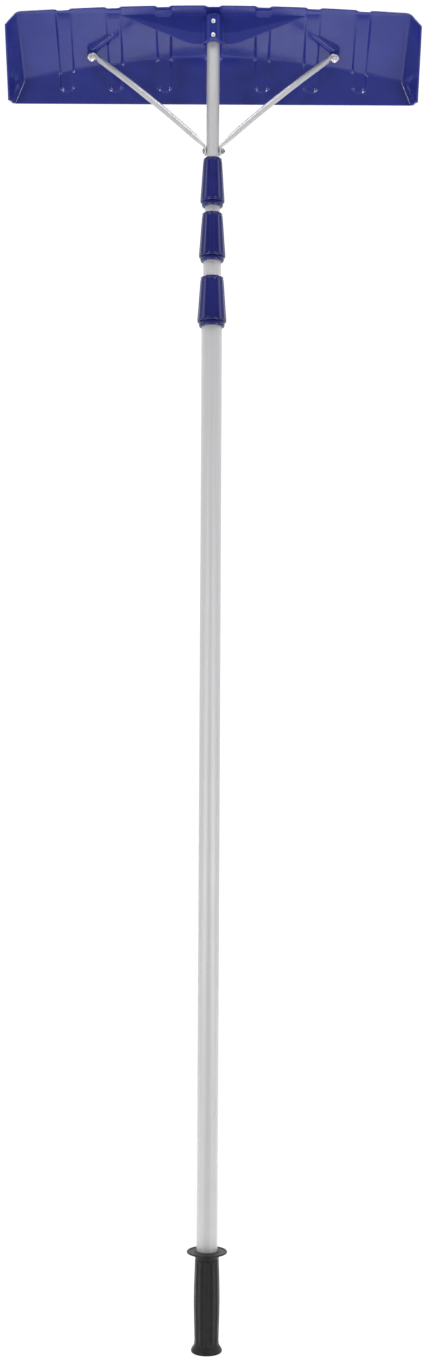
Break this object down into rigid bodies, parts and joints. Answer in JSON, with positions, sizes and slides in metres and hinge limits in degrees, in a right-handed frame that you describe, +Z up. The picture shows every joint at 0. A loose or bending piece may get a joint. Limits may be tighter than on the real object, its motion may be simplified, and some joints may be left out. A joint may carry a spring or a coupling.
{
  "type": "roof snow rake",
  "caption": "Long-reach snow rake: ribbed blue scoop on a telescoping aluminium pole with blue twist locks, two braces with flattened ends and a ribbed black grip.",
  "frame": {"origin": "centre of the flat bottom end of the grip", "axes": "+Z up the pole to the scoop, +X along the scoop's width, -Y out of the scoop's open underside"},
  "size_m": [0.656, 0.1304, 2.0763],
  "materials": {
    "scoop_blue": "semi-gloss moulded, dark blue",
    "lock_blue": "semi-gloss moulded, deep blue",
    "tube_silver": "satin anodised",
    "grip_black": "matt ribbed rubber",
    "plug_white": "natural nylon",
    "steel": "zinc plated"
  },
  "bodies": {
    "handle": {"grip": "grip_black", "tube_1_end_plug": "plug_white", "tube_1": "tube_silver", "lock_1_collet": "lock_blue"},
    "lock_1_twist": {"lock_1_sleeve": "lock_blue"},
    "section_2": {"tube_2": "tube_silver", "tube_2_guide_plug": "plug_white", "lock_2_collet": "lock_blue"},
    "lock_2_twist": {"lock_2_sleeve": "lock_blue"},
    "section_3": {"tube_3": "tube_silver", "tube_3_guide_plug": "plug_white", "lock_3_collet": "lock_blue"},
    "lock_3_twist": {"lock_3_sleeve": "lock_blue"},
    "section_4": {"tube_4": "tube_silver", "tube_4_guide_plug": "plug_white", "scoop": "scoop_blue", "brace_left": "tube_silver", "brace_right": "tube_silver", "brace_bolt_left": "steel", "brace_bolt_right": "steel", "brace_nut_left": "steel", "brace_nut_right": "steel", "cross_bolt": "steel", "cross_nut": "steel", "socket_screw_lower": "steel", "socket_screw_upper": "steel"}
  },
  "joints": [
    {"name": "extend_2", "type": "slide", "parent": "handle", "child": "section_2", "axis": [0, 0, 1], "range_m": [0, 1.43]},
    {"name": "extend_3", "type": "slide", "parent": "section_2", "child": "section_3", "axis": [0, 0, 1], "range_m": [0, 1.43]},
    {"name": "extend_4", "type": "slide", "parent": "section_3", "child": "section_4", "axis": [0, 0, 1], "range_m": [0, 1.43]},
    {"name": "lock_1_turn", "type": "hinge", "parent": "handle", "child": "lock_1_twist", "pos_m": [0, 0, 1.6095], "axis": [0, 0, 1], "range_deg": [0, 180]},
    {"name": "lock_2_turn", "type": "hinge", "parent": "section_2", "child": "lock_2_twist", "pos_m": [0, 0, 1.715], "axis": [0, 0, 1], "range_deg": [0, 180]},
    {"name": "lock_3_turn", "type": "hinge", "parent": "section_3", "child": "lock_3_twist", "pos_m": [0, 0, 1.802], "axis": [0, 0, 1], "range_deg": [0, 180]}
  ]
}
